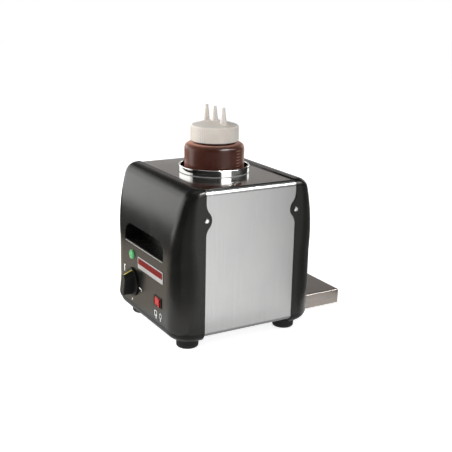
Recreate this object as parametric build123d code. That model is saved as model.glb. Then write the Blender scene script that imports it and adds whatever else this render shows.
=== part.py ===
from build123d import *
import os
from math import asin, atan2, cos, pi, radians, sin, sqrt, tan

# Sauce bottle warmer: a small electric water bath that keeps a squeeze bottle of sauce warm.
# Sizes are in millimetres, with the well's axis at X = Y = 0 and the table at Z = 0.
# The controls face minus Y, the shelf is at plus Y. The last lines move the origin
# to the middle of the overall footprint.

# Casing
body_width = 220.0          # over the moulded end caps
body_depth = 230.0          # front cap to rear cap
body_height = 231.6         # table to the steel top
cap_length = 42.4           # moulded end cap, along Y at its side
cap_wall = 3.0
cap_bottom = 13.5           # table to the caps' underside
lip_proud = 1.5             # caps' lip outside the steel sheet
lip_tuck = 9.5              # steel sheet hidden under the lip
corner_radius = 35.0        # caps' upright corners, up to the lean
crown_radius = 16.5         # the same corners at the top
lean_start = 123.0          # height where the front begins to lean back
lean_back = 20.2            # how far the lean alone would go by the top
brow_radius = 20.5          # round between the leaning front and the top
lip_flat = 0.6              # least straight lip between corner and seam
sole_radius = 18.0          # caps' lower edge, all round
heel_round = 5.0            # caps' lower edge at the seam
bend_radius = 8.0           # steel sheet's upper bends, outside
hem_radius = 7.0            # steel sheet's lower bends, outside
cover_gauge = 1.0
cover_flange = 14.0         # lower flange, from the steel side inwards
hem_lift = 8.0              # steel's lower edge above the caps' underside
sheet_fit = 0.05            # between lip and steel
base_gauge = 1.2
base_overhang = 27.0        # base plate into each cap
base_clear = 6.0            # base plate's corners inside the caps' walls

# Ears of the end caps and their screws
ear_reach = 8.7
ear_round = 15.0            # radius of the lobe's end
ear_half_height = 23.5
ear_drop = 41.0             # steel top down to the ear's middle
ear_screw_set = -0.6        # screw behind the edge of the lip
ear_screw_radius = 1.9
ear_head_radius = 3.4
ear_head_height = 1.7
ear_nut_size = 8.0
ear_nut_thickness = 3.0

# Hand slot, one in each cap
slot_width = 128.0
slot_low = 125.7
slot_high = 152.8
slot_corner = 18.0
slot_depth = 28.0
slot_floor_corner = 2.0
slot_bevel = 0.8            # on the slot's lower edge

# Feet
foot_radius = 16.5
foot_taper = 0.8
foot_from_side = 35.0       # foot centre in from the cap's side
foot_from_front = 33.5      # foot centre in from the cap's front
foot_edge = 2.0
foot_lug_radius = 13.5
foot_screw_radius = 3.0
foot_head_radius = 5.5
foot_head_height = 4.0
foot_sink = 7.5             # screw head's seat above the table
foot_nut_flats = 10.0
foot_nut_height = 5.0
screw_clearance = 0.2

# Bottle
bottle_radius = 43.8
bottle_height = 175.5       # foot to shoulder
bottle_wall = 1.3
shoulder_radius = 7.0
heel_radius = 6.0
neck_radius = 32.2
neck_height = 16.0
fill_below_shoulder = 3.5
fill_gap = 0.1

# Screw cap with three spouts
spout_cap_radius = 35.5
spout_cap_skirt = 22.7
spout_cap_wall = 1.6
spout_cap_gap = 3.6         # shoulder to the cap's lower edge
spout_cap_crown = 5.6       # height of the cone
crown_flat = 13.0           # radius of the flat on top of the cone
rib_count = 72
rib_proud = 0.8
rib_width = 1.5
spout_turn = 6.0            # row of spouts, turned from X, degrees
spout_spacing = 21.0
spout_height = 22.1         # above the cone
spout_base = 5.6            # radius
spout_tip = 2.4             # radius
spout_bore = 1.3            # radius at the tip
spout_wall = 1.3
web_thickness = 1.8
web_height = 3.0            # above the cone
web_dip = 0.85              # share of that height lost between the spouts
thread_room = 0.4

# Water well
water_gap = 5.6             # bottle to well wall
well_wall = 1.0
well_depth = 144.0          # rim to floor
well_corner = 8.0
rim_height = 10.2
rim_width = 2.6             # rolled rim, beyond the well's bore
gasket_thickness = 0.8
hole_clearance = 0.5
ring_width = 8.0
ring_height = 3.0
touch_fit = 0.05

# Heater and insulation
heater_height = 56.0
heater_thickness = 3.0
heater_below_rim = 42.0
heater_split = 10.0
lug_length = 12.0
lug_thickness = 2.0
lug_half_height = 9.0
post_radius = 2.2           # heater's terminal posts
post_length = 7.0
post_turn = 16.0            # degrees to each side of the split
clamp_radius = 2.0
sleeve_thickness = 10.0
sleeve_window = 44.0
cutout_radius = 8.0
cutout_height = 11.0
stand_width = 60.0
stand_half_span = 38.0
stand_foot = 14.0
stand_gauge = 1.5
stand_screw_radius = 2.0
stand_screw_inset = 8.0

# Controls on the front
knob_x = -38.0
knob_z = 65.0
knob_rest = 14.0            # index right of upright at rest, degrees
knob_radius = 21.5          # thin skirt
knob_base = 2.4
knob_height = 15.8
knob_grip_length = 42.4     # at its foot
knob_grip_width = 14.0      # at its top
knob_grip_flare = 2.0       # wider at its foot
knob_slope = 7.2            # how far the upper end draws in
knob_gap = 0.8
index_width = 1.6
index_depth = 0.5
shaft_grip = 12.0           # shaft inside the knob
shaft_radius = 3.0
shaft_fit = 0.25
thermostat_size = 36.0
thermostat_depth = 26.0
neck_bush_radius = 4.8
bush_reach = 3.2
bush_nut_flats = 14.0
bush_nut_height = 1.6
bulb_radius = 2.6
bulb_length = 34.0
capillary_radius = 1.0
clip_gauge = 0.8
blade_half = 0.4            # tab terminals, half their thickness
blade_length = 8.0
clip_height = 6.0
lamp_x = -38.0
lamp_z = 107.6
lens_radius = 7.0
lens_height = 4.2
lamp_radius = 4.8
lamp_length = 20.0
washer_radius = 8.0
switch_x = 48.5
switch_z = 62.3
rocker_length = 18.0
rocker_width = 11.6
rocker_throw = 14.0         # degrees between its two positions
rocker_fold = 6.0           # slope of each half of its face, degrees
rocker_level = 0.9          # middle of its face, out of the panel
rocker_pivot = 6.0          # pivot behind the panel
rocker_under = 2.5          # its underside, behind the panel
rocker_taper = 1.0          # each end, down to the underside
rocker_gap = 0.35
rocker_hub = 2.2            # radius of the boss round its pivot pins
rocker_pin = 1.2            # radius
rocker_pin_fit = 0.1
rocker_pin_reach = 1.0      # pins beyond the rocker's sides
bezel_rim = 1.4
bezel_edge = 0.5
bezel_height = 1.2
switch_wall = 1.0
switch_depth = 24.0
panel_fit = 0.2

# Electrical pieces on the base plate and the rear
gland_from_corner = 17.0    # gland's axis inside the start of the cap's corner
gland_z = 49.0
gland_thread = 7.9
gland_bore = 3.9
gland_flats = 22.0
gland_flange = 6.0
gland_dome = 14.0
block_length = 40.0
block_width = 18.0
block_height = 16.0
block_y = 55.0
stud_radius = 2.5
stud_height = 16.0
stud_from_gland = 12.0
stud_y = 20.0

# Rear shelf
shelf_width = 88.0
shelf_rear = 211.0
shelf_top = 25.5
shelf_bottom = 2.5
shelf_gauge = 1.2
shelf_bend = 3.0
shelf_gap = 2.0             # behind the rear cap
shelf_tongue = 36.0         # under the rear cap
shelf_screw_x = 25.0
shelf_screw_inset = 8.0     # from the tongue's front edge
shelf_screw_radius = 2.0
shelf_head_radius = 3.8
shelf_head_height = 2.4

# Worked out from the sizes above
half_width = body_width / 2
half_depth = body_depth / 2
cap_top = body_height + lip_proud
cap_edge = half_depth - cap_length
lean_rise = cap_top - lean_start
lean_radius = (lean_back**2 + lean_rise**2) / (2 * lean_back)
lean_y = lean_radius - half_depth
lip_bend = bend_radius + lip_proud
brow_z = cap_top - brow_radius
brow_turn = asin((brow_z - lean_start) / (lean_radius - brow_radius))
brow_y = lean_y - (lean_radius - brow_radius) * cos(brow_turn)
cover_half = half_width - lip_proud
cover_end = cap_edge + lip_tuck
foot_x = half_width - foot_from_side
foot_y = half_depth - foot_from_front
hem_height = cap_bottom + hem_lift
base_low = hem_height + cover_gauge
base_high = base_low + base_gauge
base_half = cover_half - hem_radius - 0.5
ear_z = body_height - ear_drop
ear_screw_y = cap_edge + ear_screw_set
panel_front = -half_depth
panel_back = panel_front + cap_wall
well_radius = bottle_radius + water_gap
pot_radius = well_radius + well_wall
rim_top = body_height + rim_height
well_floor = rim_top - well_depth
pot_under = well_floor - well_wall
shoulder_z = well_floor + bottle_height
cap_low = shoulder_z + spout_cap_gap
cap_deck = cap_low + spout_cap_skirt
heater_high = rim_top - heater_below_rim
heater_low = heater_high - heater_height
heater_inner = pot_radius + touch_fit
heater_outer = heater_inner + heater_thickness
lug_mid = (heater_low + heater_high) / 2
clamp_y = heater_outer + lug_length / 2
bulb_y = -(pot_radius + touch_fit + bulb_radius)
bulb_low = pot_under + well_corner + 2
thermostat_rear = panel_back + thermostat_depth
knob_low = panel_front - knob_gap
rocker_crest = rocker_pivot + rocker_level + rocker_length / 2 * tan(radians(rocker_fold))
rocker_swing = sqrt((rocker_length / 2)**2 + rocker_crest**2)
rocker_pressed = atan2(rocker_crest, rocker_length / 2) - radians(rocker_throw / 2)
mouth_half = rocker_swing * cos(rocker_pressed) + rocker_gap
switch_half_length = mouth_half + switch_wall
switch_half_width = rocker_width / 2 + rocker_gap + switch_wall
pivot_y = panel_front + rocker_pivot
rear_face = half_depth
gland_x = corner_radius + gland_from_corner - half_width
stud_place = (gland_x - stud_from_gland, stud_y)
stand_screw_x = stand_half_span + stand_foot / 2 + stand_gauge
stand_screw_y = stand_width / 2 - stand_screw_inset
shelf_front = half_depth + shelf_gap
shelf_screw_y = shelf_front - shelf_tongue + shelf_screw_inset
front_most = panel_front - knob_gap - knob_height
origin_y = (front_most + shelf_rear) / 2


# Small makers used all over

def block(x0, x1, y0, y1, z0, z1):
    return Pos((x0 + x1) / 2, (y0 + y1) / 2, (z0 + z1) / 2) * Box(x1 - x0, y1 - y0, z1 - z0)


def post(radius, z0, z1, x=0.0, y=0.0):
    return Pos(x, y, (z0 + z1) / 2) * Cylinder(radius, z1 - z0)


def pin_x(radius, x0, x1, y, z):
    return Pos((x0 + x1) / 2, y, z) * Rot(0, 90, 0) * Cylinder(radius, x1 - x0)


def pin_y(radius, y0, y1, x, z):
    return Pos(x, (y0 + y1) / 2, z) * Rot(90, 0, 0) * Cylinder(radius, y1 - y0)


def hexagon(flats):
    return RegularPolygon(flats / 2, 6, major_radius=False)


def hex_y(flats, y0, y1, x, z):
    return Pos(x, y1, z) * Rot(90, 0, 0) * extrude(hexagon(flats), y1 - y0)


def turned(*points):
    return revolve(Plane.XZ * make_face(Polyline(*points, close=True)), Axis.Z)


def four_corners(x, y):
    return [(sx * x, sy * y) for sx in (-1, 1) for sy in (-1, 1)]


# Moulded end caps

def form_front(z, inset):
    # Front at a height: upright, then the lean's arc, then the brow's arc.
    lean = lean_radius - inset
    brow = brow_radius - inset
    if z <= lean_start:
        return inset - half_depth
    if z <= lean_start + lean * sin(brow_turn):
        return lean_y - sqrt(lean**2 - (z - lean_start)**2)
    return brow_y - sqrt(max(0.0, brow**2 - (z - brow_z)**2))


def side_draw(z, inset):
    # How far the bend along the cap's upper side has drawn it in at a height.
    bend = lip_bend - inset
    rise = max(0.0, z - cap_top + lip_bend)
    return bend - sqrt(max(0.0, bend**2 - rise**2))


def level_section(z, inset, edge):
    # Straight front, round corners that tighten towards the top, straight sides back to the seam.
    draw = side_draw(z, inset)
    half = half_width - inset - draw
    front = form_front(z, inset)
    share = max(0.0, z - lean_start) / lean_rise
    corner = corner_radius + (crown_radius - corner_radius) * share - inset - draw
    corner = min(corner, -edge - front - lip_flat)
    cut = corner * (1 - sqrt(0.5))
    right = [
        ThreePointArc((half - corner, front), (half - cut, front + cut), (half, front + corner)),
        Line((half, front + corner), (half, -edge)),
    ]
    left = [mirror(piece, about=Plane.YZ) for piece in right]
    across = [Line((corner - half, front), (half - corner, front)), Line((half, -edge), (-half, -edge))]
    return Pos(0, 0, z) * make_face(right + left + across)


def cap_trunk(inset, edge):
    # Upright lower part, rounded all along its lower edge.
    low = cap_bottom + inset
    plan = Pos(0, 0, low - lean_start) * level_section(lean_start, inset, edge)
    trunk = extrude(plan, lean_start - low, dir=(0, 0, 1))
    sole = [e for e in trunk.faces().sort_by(Axis.Z)[0].edges() if e.center().Y < -edge - 1]
    return fillet(sole, sole_radius - inset)


def cap_form(inset, edge):
    # Trunk, then the leaning part, then the brow's rounding up to the flat top.
    meet = lean_start + (lean_radius - inset) * sin(brow_turn)
    lean_steps = [lean_start + (meet - lean_start) * k / 6 for k in range(7)]
    turns = [brow_turn + (pi / 2 - brow_turn) * k / 8 for k in range(9)]
    brow_steps = [brow_z + (brow_radius - inset) * sin(turn) for turn in turns]
    form = cap_trunk(inset, edge)
    for steps in (lean_steps, brow_steps):
        form += loft([level_section(z, inset, edge) for z in steps])
    return form


def outer_form():
    heel_y = -cap_edge - heel_round
    heel_z = cap_bottom + heel_round
    heel = block(-half_width, half_width, heel_y, 1 - cap_edge, cap_bottom - 1, heel_z)
    return cap_form(0.0, cap_edge) - (heel - pin_x(heel_round, -half_width, half_width, heel_y, heel_z))


def cover_outline(grow):
    half = cover_half + grow
    tall = body_height - hem_height + 2 * grow
    outline = Pos(0, (hem_height + body_height) / 2) * Rectangle(2 * half, tall)
    lower = [v for v in outline.vertices() if v.Y < body_height / 2]
    outline = fillet(lower, hem_radius + grow)
    upper = [v for v in outline.vertices() if v.Y > body_height - 1]
    return fillet(upper, bend_radius + grow)


def ear(side):
    # Lobe of the lip that carries a screw: an S-curve out to the screw and back.
    span = (ear_half_height**2 + ear_reach**2) / (2 * ear_reach)
    share = 1 - ear_round / span
    touch_y = (span - ear_round) + (ear_reach - span) * share
    touch_z = ear_half_height * (1 - share)
    low = ear_z - ear_half_height
    high = ear_z + ear_half_height
    rise = TangentArc((-cap_edge, low), (touch_y - cap_edge, ear_z - touch_z), tangent=(0, 1))
    tip = TangentArc(rise @ 1, (touch_y - cap_edge, ear_z + touch_z), tangent=rise % 1)
    fall = TangentArc(tip @ 1, (-cap_edge, high), tangent=tip % 1)
    root = -cap_edge - 4
    back = Polyline((-cap_edge, high), (root, high), (root, low), (-cap_edge, low))
    outline = make_face([rise, tip, fall, back])
    plate = extrude(Plane.YZ * outline, lip_proud - sheet_fit)
    start = cover_half + sheet_fit if side > 0 else -half_width
    return Pos(start, 0, 0) * plate


def slot_outline(grow):
    tall = slot_high - slot_low + 2 * grow
    outline = Pos(0, (slot_low + slot_high) / 2) * Rectangle(slot_width + 2 * grow, tall)
    upper = [v for v in outline.vertices() if v.Y > slot_high - 1]
    outline = fillet(upper, slot_corner + grow)
    lower = [v for v in outline.vertices() if v.Y < slot_low + 1]
    return fillet(lower, slot_floor_corner + grow)


def slot_prism(grow, depth):
    # Runs from in front of the cap to the given depth behind its flat front.
    return Pos(0, depth - half_depth, 0) * extrude(Plane.XZ * slot_outline(grow), depth + 20)


def slot_mouth():
    # Funnel that bevels the slot's edge where the front is still upright.
    wide = Pos(0, -half_depth - 1, 0) * (Plane.XZ * slot_outline(slot_bevel + 1))
    narrow = Pos(0, slot_bevel - half_depth, 0) * (Plane.XZ * slot_outline(0.0))
    return loft([wide, narrow])


def moulded_cap():
    outer = outer_form()
    hollow = cap_form(cap_wall, cap_edge - 20)
    floor_keep = block(-body_width, body_width, -cap_edge - cap_wall, 0, 0, base_low - 0.1)
    cap = outer - (hollow - floor_keep)
    cover_room = extrude(Plane.XZ * cover_outline(sheet_fit), cover_end + 0.5)
    cap -= cover_room
    pocket = slot_prism(cap_wall, slot_depth + cap_wall) & outer
    cap += pocket
    cap -= slot_prism(0.0, slot_depth)
    cap -= slot_mouth()
    for side in (-1, 1):
        cap += ear(side)
        cap += post(foot_lug_radius, cap_bottom, base_low, side * foot_x, -foot_y)
        hole = foot_screw_radius + screw_clearance
        cap -= post(hole, 0, base_high, side * foot_x, -foot_y)
        bore = ear_screw_radius + screw_clearance
        ends = sorted((side * (cover_half - 5), side * (half_width + 5)))
        cap -= pin_x(bore, ends[0], ends[1], -ear_screw_y, ear_z)
    return cap


def front_cap():
    cap = moulded_cap()
    through = (panel_front - 1, panel_back + 1)
    cap -= pin_y(neck_bush_radius + screw_clearance, *through, knob_x, knob_z)
    cap -= pin_y(lamp_radius + screw_clearance, *through, lamp_x, lamp_z)
    wide = switch_half_length + panel_fit
    tall = switch_half_width + panel_fit
    cap -= block(switch_x - wide, switch_x + wide, *through, switch_z - tall, switch_z + tall)
    return cap


def rear_cap():
    cap = mirror(moulded_cap(), about=Plane.XZ)
    through = (rear_face - cap_wall - 1, rear_face + 1)
    cap -= pin_y(gland_thread + screw_clearance, *through, gland_x, gland_z)
    for x in (-shelf_screw_x, shelf_screw_x):
        y = shelf_screw_y
        cap += post(shelf_screw_radius + 3, cap_bottom + 1, base_low, x, y)
        cap -= post(shelf_screw_radius, 0, base_low - 2, x, y)
    return cap


# Sheet metal of the casing

def steel_cover():
    skin = cover_outline(0.0) - offset(cover_outline(0.0), -cover_gauge)
    gap = cover_half - cover_flange
    skin -= Pos(0, hem_height) * Rectangle(2 * gap, 20)
    cover = extrude(Plane.XZ * skin, cover_end, both=True)
    cover -= post(pot_radius + hole_clearance, body_height - 20, body_height + 5)
    for side in (-1, 1):
        for y in (-ear_screw_y, ear_screw_y):
            ends = sorted((side * (cover_half - 5), side * (cover_half + 5)))
            cover -= pin_x(ear_screw_radius + screw_clearance, ends[0], ends[1], y, ear_z)
    return cover


def base_plate():
    reach = cap_edge + base_overhang
    inset = cap_wall + base_clear
    size = (2 * (half_width - inset), 2 * (half_depth - inset))
    outline = RectangleRounded(*size, corner_radius - inset)
    outline &= Rectangle(2 * base_half, 2 * reach)
    plate = extrude(Pos(0, 0, base_low) * outline, base_gauge)
    for x, y in four_corners(foot_x, foot_y):
        plate -= post(foot_screw_radius + screw_clearance, base_low - 1, base_high + 1, x, y)
    slots = Sketch() + GridLocations(12, 60, 7, 2) * SlotOverall(40, 5, rotation=90)
    plate -= extrude(Pos(0, 0, base_low - 1) * slots, base_gauge + 2)
    plate -= post(stud_radius + screw_clearance, base_low - 1, base_high + 1, *stud_place)
    for x, y in four_corners(stand_screw_x, stand_screw_y):
        plate -= post(stand_screw_radius, base_low - 1, base_high + 1, x, y)
    return plate


# Feet and fasteners

def foot(x, y):
    low = foot_radius - foot_taper
    body = turned((0, 0), (low, 0), (foot_radius, cap_bottom), (0, cap_bottom))
    body = fillet(body.edges().sort_by(Axis.Z)[0], foot_edge)
    body -= post(foot_screw_radius + screw_clearance, -1, cap_bottom + 1)
    body -= post(foot_head_radius + 1, -1, foot_sink)
    return Pos(x, y, 0) * body


def foot_screw(x, y):
    head = post(foot_head_radius, foot_sink - foot_head_height, foot_sink)
    head = chamfer(head.edges().sort_by(Axis.Z)[0], 1.0)
    return Pos(x, y, 0) * (head + post(foot_screw_radius, foot_sink, base_high + foot_nut_height + 2))


def nut(flats, bore, z0, height, x, y):
    return Pos(x, y, z0) * extrude(hexagon(flats) - Circle(bore), height)


def ear_screw(side, y):
    # Pan head outside, shank through lip and steel into the nut.
    head = turned(
        (0, 0),
        (ear_head_radius, 0),
        (ear_head_radius, ear_head_height * 0.4),
        (ear_head_radius * 0.75, ear_head_height * 0.9),
        (0, ear_head_height),
    )
    shank = post(ear_screw_radius, -lip_proud - cover_gauge - ear_nut_thickness - 2, 0)
    return Pos(side * half_width, y, ear_z) * Rot(0, 90 * side, 0) * (head + shank)


def ear_nut(side, y):
    inner = cover_half - cover_gauge
    half = ear_nut_size / 2
    ends = sorted((side * inner, side * (inner - ear_nut_thickness)))
    body = block(ends[0], ends[1], y - half, y + half, ear_z - half, ear_z + half)
    return body - pin_x(ear_screw_radius, ends[0] - 1, ends[1] + 1, y, ear_z)


def every_ear(maker):
    return Compound([maker(side, y).solid() for side in (-1, 1) for y in (-ear_screw_y, ear_screw_y)])


# Water well, its seat and its heater

def well_pot():
    # Deep-drawn bowl whose edge rolls out and down into a polished collar.
    seat = body_height + gasket_thickness
    outer = well_radius + rim_width
    edge = rim_width / 2
    bowl = [
        Line((0, pot_under), (pot_radius - well_corner, pot_under)),
        TangentArc(
            (pot_radius - well_corner, pot_under),
            (pot_radius, pot_under + well_corner),
            tangent=(1, 0),
        ),
        Line((pot_radius, pot_under + well_corner), (pot_radius, rim_top - 3)),
        Line((pot_radius, rim_top - 3), (outer - well_wall, rim_top - 4)),
        Line((outer - well_wall, rim_top - 4), (outer - well_wall, seat)),
        Line((outer - well_wall, seat), (outer, seat)),
        Line((outer, seat), (outer, rim_top - edge)),
        ThreePointArc((outer, rim_top - edge), (outer - edge, rim_top), (well_radius, rim_top - edge)),
        Line((well_radius, rim_top - edge), (well_radius, well_floor + well_corner)),
        TangentArc(
            (well_radius, well_floor + well_corner),
            (well_radius - well_corner, well_floor),
            tangent=(0, -1),
        ),
        Line((well_radius - well_corner, well_floor), (0, well_floor)),
        Line((0, well_floor), (0, pot_under)),
    ]
    return revolve(Plane.XZ * make_face(bowl), Axis.Z)


def flat_ring(inner, outer, z0, z1):
    return post(outer, z0, z1) - post(inner, z0 - 1, z1 + 1)


def pot_gasket():
    outer = well_radius + rim_width - 0.4
    return flat_ring(pot_radius + touch_fit, outer, body_height, body_height + gasket_thickness)


def pot_retaining_ring():
    # Push-on spring ring: a flat ring with teeth cut by slots from its bore.
    high = body_height - cover_gauge
    ring = flat_ring(pot_radius + touch_fit, pot_radius + ring_width, high - ring_height, high)
    notch = block(pot_radius - 1, pot_radius + ring_width / 2, -0.8, 0.8, high - 10, high + 5)
    for k in range(12):
        ring -= Rot(0, 0, 30 * k) * notch
    return ring


def heater_band():
    # Split band with two upright lugs at the rear, and two terminal posts.
    band = flat_ring(heater_inner, heater_outer, heater_low, heater_high)
    band -= block(-heater_split / 2, heater_split / 2, 0, heater_outer + 5, heater_low - 1, heater_high + 1)
    for side in (-1, 1):
        near = side * heater_split / 2
        ends = sorted((near, near + side * lug_thickness))
        root = heater_inner + 1
        levels = (lug_mid - lug_half_height, lug_mid + lug_half_height)
        band += block(*ends, root, heater_outer + lug_length, *levels)
        terminal = pin_y(post_radius, heater_outer - 1, heater_outer + post_length, 0, heater_low + 10)
        band += Rot(0, 0, side * post_turn) * terminal
    wide = heater_split / 2 + lug_thickness + 1
    return band - pin_x(clamp_radius + screw_clearance, -wide, wide, clamp_y, lug_mid)


def heater_clamp_screw():
    reach = heater_split / 2 + lug_thickness
    screw = pin_x(clamp_radius, -reach - 5, reach, clamp_y, lug_mid)
    screw += pin_x(clamp_radius * 1.8, reach, reach + 3, clamp_y, lug_mid)
    clamp_nut = Pos(-reach, clamp_y, lug_mid) * Rot(0, -90, 0) * extrude(hexagon(7), 3)
    return screw + clamp_nut


def insulation_sleeve():
    inner = heater_outer + touch_fit
    high = body_height - cover_gauge - ring_height - 2
    sleeve = flat_ring(inner, inner + sleeve_thickness, heater_low - 2, high)
    half = sleeve_window / 2
    return sleeve - block(-half, half, 0, inner + 2 * sleeve_thickness, heater_low - 10, high + 10)


def pot_stand():
    # Bridge folded from strip: it carries the well's floor above the base plate.
    foot_end = stand_half_span + stand_gauge + stand_foot
    outline = make_face(Polyline(
        (-foot_end, base_high),
        (-stand_half_span, base_high),
        (-stand_half_span, pot_under - stand_gauge),
        (stand_half_span, pot_under - stand_gauge),
        (stand_half_span, base_high),
        (foot_end, base_high),
        (foot_end, base_high + stand_gauge),
        (stand_half_span + stand_gauge, base_high + stand_gauge),
        (stand_half_span + stand_gauge, pot_under),
        (-stand_half_span - stand_gauge, pot_under),
        (-stand_half_span - stand_gauge, base_high + stand_gauge),
        (-foot_end, base_high + stand_gauge),
        close=True,
    ))
    stand = extrude(Plane.XZ * outline, stand_width / 2, both=True)
    stand -= post(cutout_radius + 1, pot_under - 5, pot_under + 1)
    for x, y in four_corners(stand_screw_x, stand_screw_y):
        stand -= post(stand_screw_radius, base_high - 1, base_high + stand_gauge + 1, x, y)
    return stand


def stand_screw(x, y):
    seat = base_high + stand_gauge
    shank = post(stand_screw_radius, base_low - 3, seat, x, y)
    return shank + post(stand_screw_radius * 1.9, seat, seat + 2.2, x, y)


def thermal_cutout():
    # Snap disc against the well's floor, with a flange under the stand and two blades.
    low = pot_under - cutout_height
    body = post(cutout_radius, low, pot_under)
    seat = pot_under - stand_gauge
    body += block(-cutout_radius - 7, cutout_radius + 7, -5, 5, seat - 1.5, seat)
    for x in (-4, 4):
        body += block(x - blade_half, x + blade_half, -3, 3, low - blade_length, low)
    return body


# Thermostat, its bulb and its knob

def thermostat_body():
    half = thermostat_size / 2
    sides = (knob_x - half, knob_x + half)
    body = block(*sides, panel_back, thermostat_rear, knob_z - half, knob_z + half)
    body = fillet(body.edges().filter_by(Axis.Y), 3.0)
    nose = panel_front - bush_reach
    body += pin_y(neck_bush_radius, nose, panel_back, knob_x, knob_z)
    body -= pin_y(shaft_radius + shaft_fit, nose - 1, thermostat_rear - 6, knob_x, knob_z)
    for dx in (-9, 9):
        blade = (knob_x + dx - 3, knob_x + dx + 3)
        tip = thermostat_rear + blade_length
        body += block(*blade, thermostat_rear, tip, knob_z + 10 - blade_half, knob_z + 10 + blade_half)
    return body


def thermostat_nut():
    washer = hex_y(bush_nut_flats, panel_front - bush_nut_height, panel_front, knob_x, knob_z)
    return washer - pin_y(neck_bush_radius, panel_front - 10, panel_front + 5, knob_x, knob_z)


def capillary_tube():
    # Bulb against the well, then a fine tube to the back of the thermostat.
    rear = thermostat_rear
    bulb = post(bulb_radius, bulb_low, bulb_low + bulb_length, 0, bulb_y)
    bulb = fillet(bulb.edges(), 1.2)
    route = FilletPolyline(
        (0, bulb_y, bulb_low + 1),
        (0, bulb_y, bulb_low - 18),
        (knob_x / 2, (bulb_y + rear) / 2, (bulb_low - 18 + knob_z) / 2),
        (knob_x, rear + 14, knob_z),
        (knob_x, rear, knob_z),
        radius=6,
    )
    return bulb + sweep(Plane(route @ 0, z_dir=route % 0) * Circle(capillary_radius), path=route)


def bulb_clip():
    # Spring band round the well that arches over the bulb.
    mid = bulb_low + bulb_length / 2
    low = mid - clip_height / 2
    high = mid + clip_height / 2
    band = post(pot_radius + touch_fit + clip_gauge, low, high)
    band += post(bulb_radius + touch_fit + clip_gauge, low, high, 0, bulb_y)
    band -= post(pot_radius + touch_fit, low - 1, high + 1)
    return band - post(bulb_radius + touch_fit, low - 1, high + 1, 0, bulb_y)


def knob_blank():
    # Thin round skirt and a bar grip whose upper end slopes in, drawn with the dial's outside upwards.
    skirt = post(knob_radius, 0, knob_base)
    skirt = fillet(skirt.edges().sort_by(Axis.Z)[-1], 0.8)
    foot_shape = SlotOverall(knob_grip_length, knob_grip_width + knob_grip_flare, rotation=90)
    top_shape = SlotOverall(knob_grip_length - knob_slope, knob_grip_width, rotation=90)
    grip = loft([Pos(0, 0, knob_base / 2) * foot_shape, Pos(0, -knob_slope / 2, knob_height) * top_shape])
    grip = fillet(grip.faces().sort_by(Axis.Z)[-1].edges(), 1.0)
    return skirt + grip


def on_panel(shape):
    # Turns a shape drawn with its outside upwards to face out of the front panel at the knob.
    return Pos(knob_x, knob_low, knob_z) * Rot(90, 0, 0) * Rot(0, 0, -knob_rest) * shape


def index_inlay():
    # Painted groove down the crest of the sloping end.
    half = index_width / 2
    strip = block(-half, half, 0, 2 * knob_radius, knob_base + 0.2, knob_height - 0.4)
    return (knob_blank() & strip) - Pos(0, -index_depth, 0) * knob_blank()


def thermostat_knob():
    blank = knob_blank() - index_inlay()
    nut_room = bush_nut_flats / 2 / cos(pi / 6) + 0.8
    blank -= post(nut_room, -1, bush_nut_height - knob_gap + 0.6)
    blank -= post(neck_bush_radius + 0.8, -1, bush_reach - knob_gap + 0.8)
    blank -= post(shaft_radius, 0, shaft_grip)
    return on_panel(blank)


def knob_index():
    return on_panel(index_inlay())


def thermostat_shaft():
    return pin_y(shaft_radius, knob_low - shaft_grip, thermostat_rear - 8, knob_x, knob_z)


# Pilot lamp and rocker switch

def pilot_lens():
    dome = turned((0, 0), (lens_radius, 0), (lens_radius, 1.2), (lens_radius * 0.86, 2.6), (0, lens_height))
    upper = [e for e in dome.edges() if e.center().Z > 1 and e.length > 5]
    dome = fillet(upper, 0.9)
    stem = post(lamp_radius, -cap_wall - 2, 0)
    return Pos(lamp_x, panel_front, lamp_z) * Rot(90, 0, 0) * (dome + stem)


def pilot_lamp():
    start = panel_back + 2
    body = pin_y(lamp_radius, start, start + lamp_length, lamp_x, lamp_z)
    clip = pin_y(washer_radius, panel_back, panel_back + 1.2, lamp_x, lamp_z)
    clip -= pin_y(lamp_radius, panel_back - 1, panel_back + 2, lamp_x, lamp_z)
    clip += pin_y(lamp_radius + 1.2, panel_back + 1.2, start + 6, lamp_x, lamp_z)
    clip -= pin_y(lamp_radius, panel_back - 1, start, lamp_x, lamp_z)
    for dx in (-2, 2):
        blade = (lamp_x + dx - blade_half, lamp_x + dx + blade_half)
        rear = start + lamp_length
        body += block(*blade, rear, rear + blade_length, lamp_z - 1.5, lamp_z + 1.5)
    return body + clip


def switch_housing():
    # Box with a raised bezel round an open mouth, and three blades behind.
    rim_long = mouth_half + bezel_rim
    rim_tall = rocker_width / 2 + rocker_gap + bezel_rim
    bezel = extrude(RectangleRounded(2 * rim_long, 2 * rim_tall, 1.5), bezel_height)
    bezel = fillet(bezel.faces().sort_by(Axis.Z)[-1].edges(), bezel_edge)
    housing = Pos(switch_x, panel_front, switch_z) * Rot(90, 0, 0) * bezel
    rear = panel_front + switch_depth
    sides = (switch_x - switch_half_length, switch_x + switch_half_length)
    levels = (switch_z - switch_half_width, switch_z + switch_half_width)
    housing += block(*sides, panel_front, rear, *levels)
    tall = rocker_width / 2 + rocker_gap
    mouth = (switch_x - mouth_half, switch_x + mouth_half)
    depth = pivot_y + rocker_hub + rocker_gap
    housing -= block(*mouth, panel_front - 10, depth, switch_z - tall, switch_z + tall)
    housing -= post(rocker_pin + rocker_pin_fit, levels[0] - 1, levels[1] + 1, switch_x, pivot_y)
    for dx in (-7, 0, 7):
        blade = (switch_x + dx - blade_half, switch_x + dx + blade_half)
        housing += block(*blade, rear, rear + blade_length, switch_z - 3, switch_z + 3)
    return housing


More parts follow.
